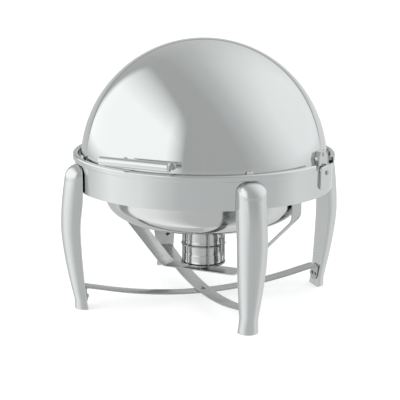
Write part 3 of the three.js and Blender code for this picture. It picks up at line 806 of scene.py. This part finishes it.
def fuel_holder():
    base = HOLDER_LOW.z
    parts = [lathe(rounded([(3.4 * MM, base), (CAGE_R, base), (CAGE_R, base + 1.5 * MM),
                            (3.4 * MM, base + 1.5 * MM)], 0.5 * MM, 3), 96)]
    for z in (base + 2 * MM, 102 * MM, CAGE_TOP):
        loop = [polar(CAGE_R, 360 * k / 72, z) for k in range(72)]
        parts.append(tube(loop, WIRE_R * 0.99, 14, closed=True))
    for i in range(6):
        azimuth = 39 + 60 * i
        route = [polar(CAGE_R - 9 * MM, azimuth, base + 2.6 * MM), polar(CAGE_R, azimuth, base + 2.6 * MM),
                 polar(CAGE_R, azimuth, CAGE_TOP)]
        parts.append(tube(smooth_path(route, 4 * MM), WIRE_R * 0.92, 12))
    for z in (96 * MM, 113 * MM):
        web = prism(rounded([(-3.5 * MM, z - 5 * MM), (3.5 * MM, z - 5 * MM), (3.5 * MM, z + 5 * MM),
                             (-3.5 * MM, z + 5 * MM)], 0.6 * MM, 3), 2 * MM, 0.3 * MM)
        at = polar(CAGE_R + 2.5 * MM, POST_AZIMUTH, 0)
        turn = Matrix.Rotation(math.radians(POST_AZIMUTH - 90), 4, "Z")
        parts.append(moved(web, Matrix.Translation(at) @ turn))
    sleeve = rounded([(2.3 * MM, 92 * MM), (3.6 * MM, 92 * MM), (3.6 * MM, 118 * MM), (2.3 * MM, 118 * MM)],
                     0.4 * MM, 3)
    at = polar(POST_R, POST_AZIMUTH, 0)
    parts.append(moved(lathe(sleeve, 32), Matrix.Translation(at)))
    make_piece("fuel_cage", *merged(parts), "wire", "frame", ["fuel_holder"], matrix=AT_AXIS)


def fuel_can():
    low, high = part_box("fuel_can")
    r = (high.x - low.x) / 2
    body = r - 0.8 * MM
    mouth = 17 * MM
    lid = high.z - 2 * MM
    gel = lid - 12 * MM
    profile = [(0, low.z + 1.5 * MM), (r - 4 * MM, low.z + 1.5 * MM)]
    profile += arc(r - 1.2 * MM, low.z + 1.2 * MM, 1.2 * MM, 1.2 * MM, -160, 40, 9)
    profile += [(body, low.z + 4 * MM)]
    for middle in (0.3, 0.7):
        z = low.z + (high.z - low.z) * middle
        for k in range(-3, 4):
            profile.append((body - 0.5 * MM * math.cos(math.pi * k / 6) ** 2, z + k * 0.8 * MM))
    profile += [(body, high.z - 4 * MM)]
    profile += arc(r - 1.2 * MM, high.z - 1.2 * MM, 1.2 * MM, 1.2 * MM, -40, 180, 10)
    profile += [(r - 2.6 * MM, lid), (mouth + 2 * MM, lid)]
    profile += arc(mouth + 0.8 * MM, lid + 0.5 * MM, 0.8 * MM, 0.8 * MM, 20, 180, 7)
    profile += [(mouth, lid - 2 * MM), (mouth, gel), (mouth - MM, gel - 0.4 * MM), (0, gel - 0.4 * MM)]
    make_piece("gel_can", *lathe(profile, 96, False), "tin", "frame", ["fuel_can"], sharp=50, matrix=AT_AXIS)


# ---------- snuffer ----------

def snuffer():
    low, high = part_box("snuffer_lid")
    r = (high.x - low.x) / 2
    top, bottom = high.z, low.z
    sheet = 1.2 * MM
    profile = [(0, top - sheet), (r - 4.5 * MM, top - sheet), (r - 1.6 * MM, bottom + 0.2 * MM)]
    profile += arc(r - 0.8 * MM, bottom + 0.8 * MM, 0.8 * MM, 0.8 * MM, -120, 60, 8)
    profile += arc(r - 6.5 * MM, top - 3 * MM, 3 * MM, 3 * MM, 50, 90, 5)
    profile += [(r * 0.5, top), (r * 0.5 - MM, top - 0.5 * MM), (r * 0.32, top - 0.5 * MM),
                (r * 0.32 - MM, top), (0, top)]
    make_piece("snuffer_cap", *lathe(profile, 96, False), "polished", "snuffer", ["snuffer_lid"],
               matrix=AT_AXIS)

    wire = 1.6 * MM
    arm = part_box("snuffer_wire")[1].z - wire
    drop = 12 * MM
    post = polar(POST_R, POST_AZIMUTH, 0)
    reach, grip_azimuth = 60 * MM, -65
    route = [(post.x, post.y, 86 * MM), (post.x, post.y, arm), (0, 0, arm),
             polar(reach - drop, grip_azimuth, arm), polar(reach, grip_azimuth, arm - drop)]
    verts, faces = tube(smooth_path(route, 5 * MM, 8), wire * 0.98, 16)
    make_piece("snuffer_arm", verts, faces, "wire", "snuffer", ["snuffer_wire"], sharp=50, matrix=AT_AXIS)

    end = polar(reach, grip_azimuth, arm - drop)
    direction = (end - polar(reach - drop, grip_azimuth, arm)).normalized()
    length = 9.8 * MM
    profile = [(0, 0), (2.2 * MM, 0.1 * MM), (2.6 * MM, 0.6 * MM), (3.0 * MM, 2 * MM), (3.2 * MM, 4 * MM),
               (2.85 * MM, 6 * MM), (3.1 * MM, 7 * MM), (2.9 * MM, 8.6 * MM), (2 * MM, 9.5 * MM),
               (0, length)]
    turn = direction.to_track_quat("Z", "X").to_matrix().to_4x4()
    grip = moved(lathe(profile, 32, False), Matrix.Translation(end + direction * wire) @ turn)
    make_piece("snuffer_knob", *grip, "black", "snuffer", ["snuffer_grip"], sharp=50, matrix=AT_AXIS)


# ---------- roll-top cover ----------

COVER_SHEET = 1.2 * MM
HUB_IN = COVER_R + GAP
HUB_OUT = HUB_IN + 6.4 * MM
RIVET_Z = PIVOT_Z + 32 * MM


def dome_cover():
    hem = 1.3 * MM
    bead = arc(COVER_R - hem, PIVOT_Z + hem, hem, hem, -200, 0, 12)
    outer = arc(0, PIVOT_Z, COVER_R, COVER_R, 0.6, 90, 72)
    inner_r = COVER_R - COVER_SHEET
    inner = arc(0, PIVOT_Z, inner_r, inner_r, 90, 1.1, 72)
    body = lathe([(abs(x), z) for x, z in bead + outer + inner], 216)
    notch, past = 9.5 * MM, COVER_R + 0.01
    cutter = moved(lathe([(0, -past), (notch, -past), (notch, past), (0, past)], 48, False),
                   along_x(0, PIVOT_Z))
    result = notched("roll_top", body, [cutter])
    result.transform(AT_AXIS)
    finish_piece("roll_top", result, "mirror", "cover", ["dome_cover"])


def outline_radius(outline, angle):
    """Distance from the origin to a polygon's rim in the direction of angle."""
    direction = Vector((math.cos(angle), math.sin(angle)))
    best = 0.0
    for a, b in zip(outline, outline[1:] + outline[:1]):
        a, b = Vector(a), Vector(b)
        edge = b - a
        det = direction.x * -edge.y + direction.y * edge.x
        if abs(det) < 1e-15:
            continue
        distance = (a.x * -edge.y + a.y * edge.x) / det
        along = (direction.x * a.y - direction.y * a.x) / det
        if distance > 0 and -1e-6 <= along <= 1 + 1e-6:
            best = max(best, distance)
    return best


def cover_hub(side, sign):
    """A lug riveted to the cover's side. Its back follows the cover, where the rings start at x = 0."""
    matrix = turn_to(90 * sign)
    top = RIVET_Z + 6 * MM - PIVOT_Z
    tab = RIVET_Z - 4 * MM - PIVOT_Z
    lug = arc(0, 0, 20 * MM, 20 * MM, -180, 0, 60)
    lug += [(20 * MM, tab), (11 * MM, top), (-11 * MM, top), (-20 * MM, tab)]
    lug = rounded(lug, [0] * 61 + [2.5 * MM] * 4, 5)
    count, edge = 144, 0.6 * MM
    turns = [2 * math.pi * k / count for k in range(count)]
    spans = [outline_radius(lug, a) for a in turns]
    bore = 8.4 * MM

    def ring(share, x):
        points = []
        for a, span in zip(turns, spans):
            r = bore + (span - bore) * share if share <= 1 else span - edge * (share - 1)
            y, z = r * math.cos(a), r * math.sin(a)
            back = math.sqrt(HUB_IN ** 2 - y * y - z * z)
            points.append(Vector((max(x, back + 0.2 * MM) if x else back, y, PIVOT_Z + z)))
        return points

    rings = [ring(i / 6, 0) for i in range(7)]
    rings += [ring(1, HUB_OUT - edge), ring(1.7, HUB_OUT - edge * 0.3), ring(2, HUB_OUT), ring(0.5, HUB_OUT)]
    rings += [ring(0.02, HUB_OUT), ring(0, HUB_OUT - 0.4 * MM), rings[0]]
    verts, faces = cleaned(*loft(rings, closed_ends=False))
    make_piece(f"pivot_lug_{side}", verts, faces, "polished", "cover", [f"cover_hub_{side}"], matrix=matrix)

    x0, x1 = x_span(f"hub_rivet_{side}")
    profile = domed_rivet(4.3 * MM, 2.5 * MM, x0 + 1.8 * MM, x1 - 1.0 * MM, 0.98 * MM)
    make_piece(f"lug_rivet_{side}", *turned_x(profile, 40, matrix, RIVET_Z, False), "screw", "cover",
               [f"hub_rivet_{side}"])


HANDLE_MID = box_middle("handle_bar")
HANDLE_R = 7.85 * MM
HANDLE_REACH = AXIS_Y - HANDLE_MID.y
POST_X = 54 * MM


def to_tube(point, direction):
    """Slides a point along the direction until it meets the handle tube's clearance."""
    y, z = point.y - HANDLE_MID.y, point.z - HANDLE_MID.z
    a = direction.y ** 2 + direction.z ** 2
    b = y * direction.y + z * direction.z
    c = y * y + z * z - (8.3 * MM) ** 2
    return point + direction * ((-b - math.sqrt(b * b - a * c)) / a)


def handle():
    low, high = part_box("handle_bar")
    half = (high.x - low.x) / 2
    edge = 3 * MM
    rim = HANDLE_R - edge
    profile = [(0, -half), (rim * 0.6, -half)] + arc(rim, -half + edge, edge, edge, -90, 0, 9)
    profile += arc(rim, half - edge, edge, edge, 0, 90, 9) + [(rim * 0.6, half), (0, half)]
    bar = moved(lathe(profile, 72, False), along_x(HANDLE_MID.y, HANDLE_MID.z))
    make_piece("grip_tube", *bar, "mirror", "cover", ["handle_bar"], sharp=50)

    for side, sign in SIDES.items():
        outwards = Vector((sign * POST_X, -HANDLE_REACH, HANDLE_MID.z - PIVOT_Z))
        turn = Vector((0, 0, 1)).rotation_difference(outwards.normalized()).to_matrix().to_4x4()
        place = Matrix.Translation((0, AXIS_Y, PIVOT_Z)) @ turn
        foot, shank, surface = 7 * MM, 5 * MM, COVER_R + GAP
        count = 48

        def ring(radius, distance=0.0):
            """A circle about the post at a distance from the cover's middle, or on the cover."""
            turns = [2 * math.pi * k / count for k in range(count)]
            height = max(distance, math.sqrt(surface ** 2 - radius ** 2) + (0.2 * MM if distance else 0))
            return [place @ Vector((radius * math.cos(a), radius * math.sin(a), height)) for a in turns]

        rings = [ring(0.5 * MM), ring(foot * 0.6), ring(foot - 0.3 * MM), ring(foot, surface + 0.9 * MM)]
        rings += [ring(foot - 0.4 * MM, surface + 1.8 * MM), ring(shank + 0.9 * MM, surface + 2.1 * MM)]
        rings += [ring(shank + 0.2 * MM, surface + 3.0 * MM), ring(shank, surface + 4.5 * MM)]
        rings.append(ring(shank, outwards.length - 9.5 * MM))
        rings.append([to_tube(v, outwards.normalized()) for v in rings[-1]])
        verts, faces = loft(rings)
        make_piece(f"grip_stay_{side}", verts, faces, "polished", "cover", [f"handle_post_{side}"], sharp=48)

        radius, height = 4.4 * MM, 2.4 * MM
        start = COVER_R - COVER_SHEET - 1.5 * MM - height
        screw = screw_rings(radius, height, 2.2 * MM, 16 * MM, "cross")
        place = place @ Matrix.Translation((0, 0, start)) @ Matrix.Rotation(math.radians(-90), 4, "Y")
        make_piece(f"grip_bolt_{side}", *moved(loft(screw), place), "screw", "cover",
                   [f"handle_screw_{side}"])


# ---------- the object ----------

ring_band()
for place_name, leg_azimuth in LEGS.items():
    leg(place_name, leg_azimuth)
    leg_screws(place_name, leg_azimuth)
    brace_screws(place_name, leg_azimuth)
    cover_rest(place_name, leg_azimuth)
brace("brace_lower", "cross_brace_under", LOWER_BRACE_Z, LEGS["front_left"])
brace("brace_upper", "cross_brace_over", UPPER_BRACE_Z, LEGS["front_right"])
brace_rivet()
for side_name, side_sign in SIDES.items():
    pivot_plate(side_name, side_sign)
    pivot_hardware(side_name, side_sign)
    cover_hub(side_name, side_sign)
pan_support_ring()
pan("hot_water_pan", "water_pan", 177.5 * MM, (79.5 * MM, 45 * MM), 1.2 * MM, "pan")
pan("serving_pan", "food_pan", 172 * MM, (24 * MM, 24 * MM), 1.0 * MM, "polished")
fuel_strap()
holder_mounting()
fuel_holder()
fuel_can()
snuffer()
dome_cover()
handle()


# ---------- floor, light and camera ----------

def floor():
    size = 6.0
    mesh = bpy.data.meshes.new("floor")
    corners = [(-size, -size, 0), (size, -size, 0), (size, size, 0), (-size, size, 0)]
    mesh.from_pydata(corners, [], [(0, 1, 2, 3)])
    plane = bpy.data.objects.new("floor", mesh)
    scene.collection.objects.link(plane)
    plane.location.z = -0.0003
    material, tree, shader = new_material("floor_paper", (0.6, 0.6, 0.6), 0.9, 0.0)
    place = object_coordinates(tree)
    cloud = noise(tree, place, 2.0, 2.0, 0.5)
    tint(tree, shader, cloud, (0.59, 0.59, 0.59), (0.61, 0.61, 0.61))
    shader.inputs["Emission Color"].default_value = (1, 1, 1, 1)
    shader.inputs["Emission Strength"].default_value = 0.62
    shader.inputs["Specular IOR Level"].default_value = 0.0
    mesh.materials.append(material)
    plane.visible_glossy = False


# The studio's azimuths count from STUDIO_AZIMUTH, positive to the right.
STUDIO_AZIMUTH = 25.3
# Levels of the upper half, by the cosine of the angle to its brightest place.
KEY_AZIMUTH, KEY_HEIGHT = 115, 25
UPPER = [(-1, 0.52), (0.25, 0.54), (0.5, 0.69), (0.75, 0.96), (0.92, 1.14), (1, 1.16)]
# Levels of the table and the lower walls, by azimuth.
LOWER = [(-180, 0.6), (-130, 0.72), (-103, 1.03), (-90, 1.2), (-57, 1.06), (-42, 0.88), (-21, 0.68),
         (28, 0.65), (65, 0.7), (90, 0.95), (114, 0.9), (180, 0.75)]
# A softbox on the left, and a backdrop behind the object with a dark rim.
SOFTBOX_AZIMUTH, SOFTBOX_LEVEL = -80, 1.38
BACKDROP_TILT, RIM_LEVEL = 10.95, 0.33
BACKDROP_HALF_WIDTH, BACKDROP_HEIGHT, BACKDROP_POWER = 0.84, 0.49, 2.6
LEFT_LEVEL, RIGHT_LEVEL, TOP_LEVEL = 0.63, 0.92, 0.47


def blend(tree, share, a, b):
    """a where share is 0 and b where it is 1."""
    node = tree.nodes.new("ShaderNodeMix")
    for name, value in (("Factor", share), ("A", a), ("B", b)):
        if isinstance(value, (int, float)):
            node.inputs[name].default_value = value
        else:
            tree.links.new(value, node.inputs[name])
    return node.outputs["Result"]


def levels(tree, value, stops):
    """A piecewise linear function of a value, given as (value, level) stops."""
    low, high = stops[0][0], stops[-1][0]
    top = max(level for _, level in stops)
    ramp = tree.nodes.new("ShaderNodeValToRGB")
    ramp.color_ramp.interpolation = "LINEAR"
    for i, (at, level) in enumerate(stops):
        position = (at - low) / (high - low)
        elements = ramp.color_ramp.elements
        stop = elements[i] if i < 2 else elements.new(position)
        stop.position = position
        stop.color = (level / top, level / top, level / top, 1)
    tree.links.new(spread(tree, value, 0.0, 1.0, low, high), ramp.inputs["Fac"])
    return multiply(tree, ramp.outputs["Color"], top)


def studio():
    world = bpy.data.worlds.new("studio")
    scene.world = world
    world.use_nodes = True
    tree = world.node_tree
    tree.nodes.clear()
    links = tree.links
    place = tree.nodes.new("ShaderNodeTexCoord").outputs["Generated"]
    a = math.radians(STUDIO_AZIMUTH)
    right, towards = Vector((math.cos(a), math.sin(a), 0)), Vector((math.sin(a), -math.cos(a), 0))
    up = Vector((0, 0, 1))

    def dot(axis):
        node = tree.nodes.new("ShaderNodeVectorMath")
        node.operation = "DOT_PRODUCT"
        node.inputs[1].default_value = axis
        links.new(place, node.inputs[0])
        return node.outputs["Value"]

    def direction(azimuth, elevation=0.0):
        turn, lift = math.radians(azimuth), math.radians(elevation)
        level = right * math.sin(turn) + towards * math.cos(turn)
        return level * math.cos(lift) + up * math.sin(lift)

    def inside(value, edge, width):
        """1 below the edge and 0 above it, with a soft step between."""
        return spread(tree, value, 1.0, 0.0, edge - width, edge + width)

    height = dot(up)
    upper = levels(tree, dot(direction(KEY_AZIMUTH, KEY_HEIGHT)), UPPER)

    depth = maximum(tree, dot(direction(SOFTBOX_AZIMUTH)), 0.001)
    across = calc(tree, "DIVIDE", dot(direction(SOFTBOX_AZIMUTH + 90)), depth)
    rise = calc(tree, "DIVIDE", height, depth)
    box = multiply(tree, inside(across, 1.42, 0.45), inside(multiply(tree, across, -1.0), 2.1, 0.4))
    box = multiply(tree, box, inside(rise, 1.45, 0.6))
    upper = blend(tree, box, upper, SOFTBOX_LEVEL)

    depth = maximum(tree, dot(-direction(0, BACKDROP_TILT)), 0.001)
    across = calc(tree, "DIVIDE", dot(right), depth)
    rise = maximum(tree, calc(tree, "DIVIDE", dot(direction(0, BACKDROP_TILT + 90)), depth), 0.0)
    wide = calc(tree, "ABSOLUTE", calc(tree, "DIVIDE", across, BACKDROP_HALF_WIDTH))
    tall = calc(tree, "DIVIDE", rise, BACKDROP_HEIGHT)
    reach = calc(tree, "ADD", calc(tree, "POWER", wide, BACKDROP_POWER),
                 calc(tree, "POWER", tall, BACKDROP_POWER))
    face = blend(tree, spread(tree, across, 0.0, 1.0, -0.8, 0.8), LEFT_LEVEL, RIGHT_LEVEL)
    face = blend(tree, spread(tree, rise, 0.0, 1.0, 0.22, BACKDROP_HEIGHT), face, TOP_LEVEL)
    upper = blend(tree, inside(reach, 1.14, 0.06), upper, RIM_LEVEL)
    upper = blend(tree, inside(reach, 0.92, 0.06), upper, face)

    turn = calc(tree, "ARCTAN2", dot(right), dot(towards))
    lower = levels(tree, multiply(tree, turn, 180 / math.pi), LOWER)
    strength = blend(tree, spread(tree, height, 0.0, 1.0, -0.10, 0.04), lower, upper)
    light = tree.nodes.new("ShaderNodeBackground")
    light.inputs["Color"].default_value = (0.985, 1.0, 1.0, 1)
    links.new(strength, light.inputs["Strength"])
    white = tree.nodes.new("ShaderNodeBackground")
    white.inputs["Strength"].default_value = 1.05
    white.inputs["Color"].default_value = (1, 1, 1, 1)
    path = tree.nodes.new("ShaderNodeLightPath")
    chosen = tree.nodes.new("ShaderNodeMixShader")
    links.new(path.outputs["Is Camera Ray"], chosen.inputs["Fac"])
    links.new(light.outputs["Background"], chosen.inputs[1])
    links.new(white.outputs["Background"], chosen.inputs[2])
    output = tree.nodes.new("ShaderNodeOutputWorld")
    links.new(chosen.outputs["Shader"], output.inputs["Surface"])


def soft_light(name, location, size, power):
    lamp = bpy.data.lights.new(name, "AREA")
    lamp.size = size
    lamp.energy = power
    holder = bpy.data.objects.new(name, lamp)
    holder.location = location
    holder.rotation_euler = (Vector((0, 0, 0.2)) - Vector(location)).to_track_quat("-Z", "Y").to_euler()
    holder.visible_glossy = False
    scene.collection.objects.link(holder)


CAMERA_AZIMUTH, CAMERA_DISTANCE, CAMERA_HEIGHT = 25.26, 2.248, 0.6893
CAMERA_LENS = 113.8
# Degrees that the view looks down, turns left of the axis and rolls.
LOOK_DOWN, LOOK_ASIDE, ROLL = 12.73, 0.17, 0.32


def camera():
    data = bpy.data.cameras.new("camera")
    data.sensor_width = 36
    data.lens = CAMERA_LENS
    viewer = bpy.data.objects.new("camera", data)
    scene.collection.objects.link(viewer)
    azimuth = math.radians(CAMERA_AZIMUTH)
    viewer.location = (CAMERA_DISTANCE * math.sin(azimuth), AXIS_Y - CAMERA_DISTANCE * math.cos(azimuth),
                       CAMERA_HEIGHT)
    turn = Matrix.Rotation(azimuth + math.radians(LOOK_ASIDE), 3, "Z")
    lift = Matrix.Rotation(math.radians(90 - LOOK_DOWN), 3, "X")
    viewer.rotation_euler = (turn @ lift @ Matrix.Rotation(math.radians(ROLL), 3, "Z")).to_euler()
    scene.camera = viewer


floor()
studio()
soft_light("key", (-1.6, -1.8, 2.6), 2.2, 26)
soft_light("fill", (2.2, -0.6, 1.9), 2.4, 12)
camera()
scene.view_settings.view_transform = "Standard"
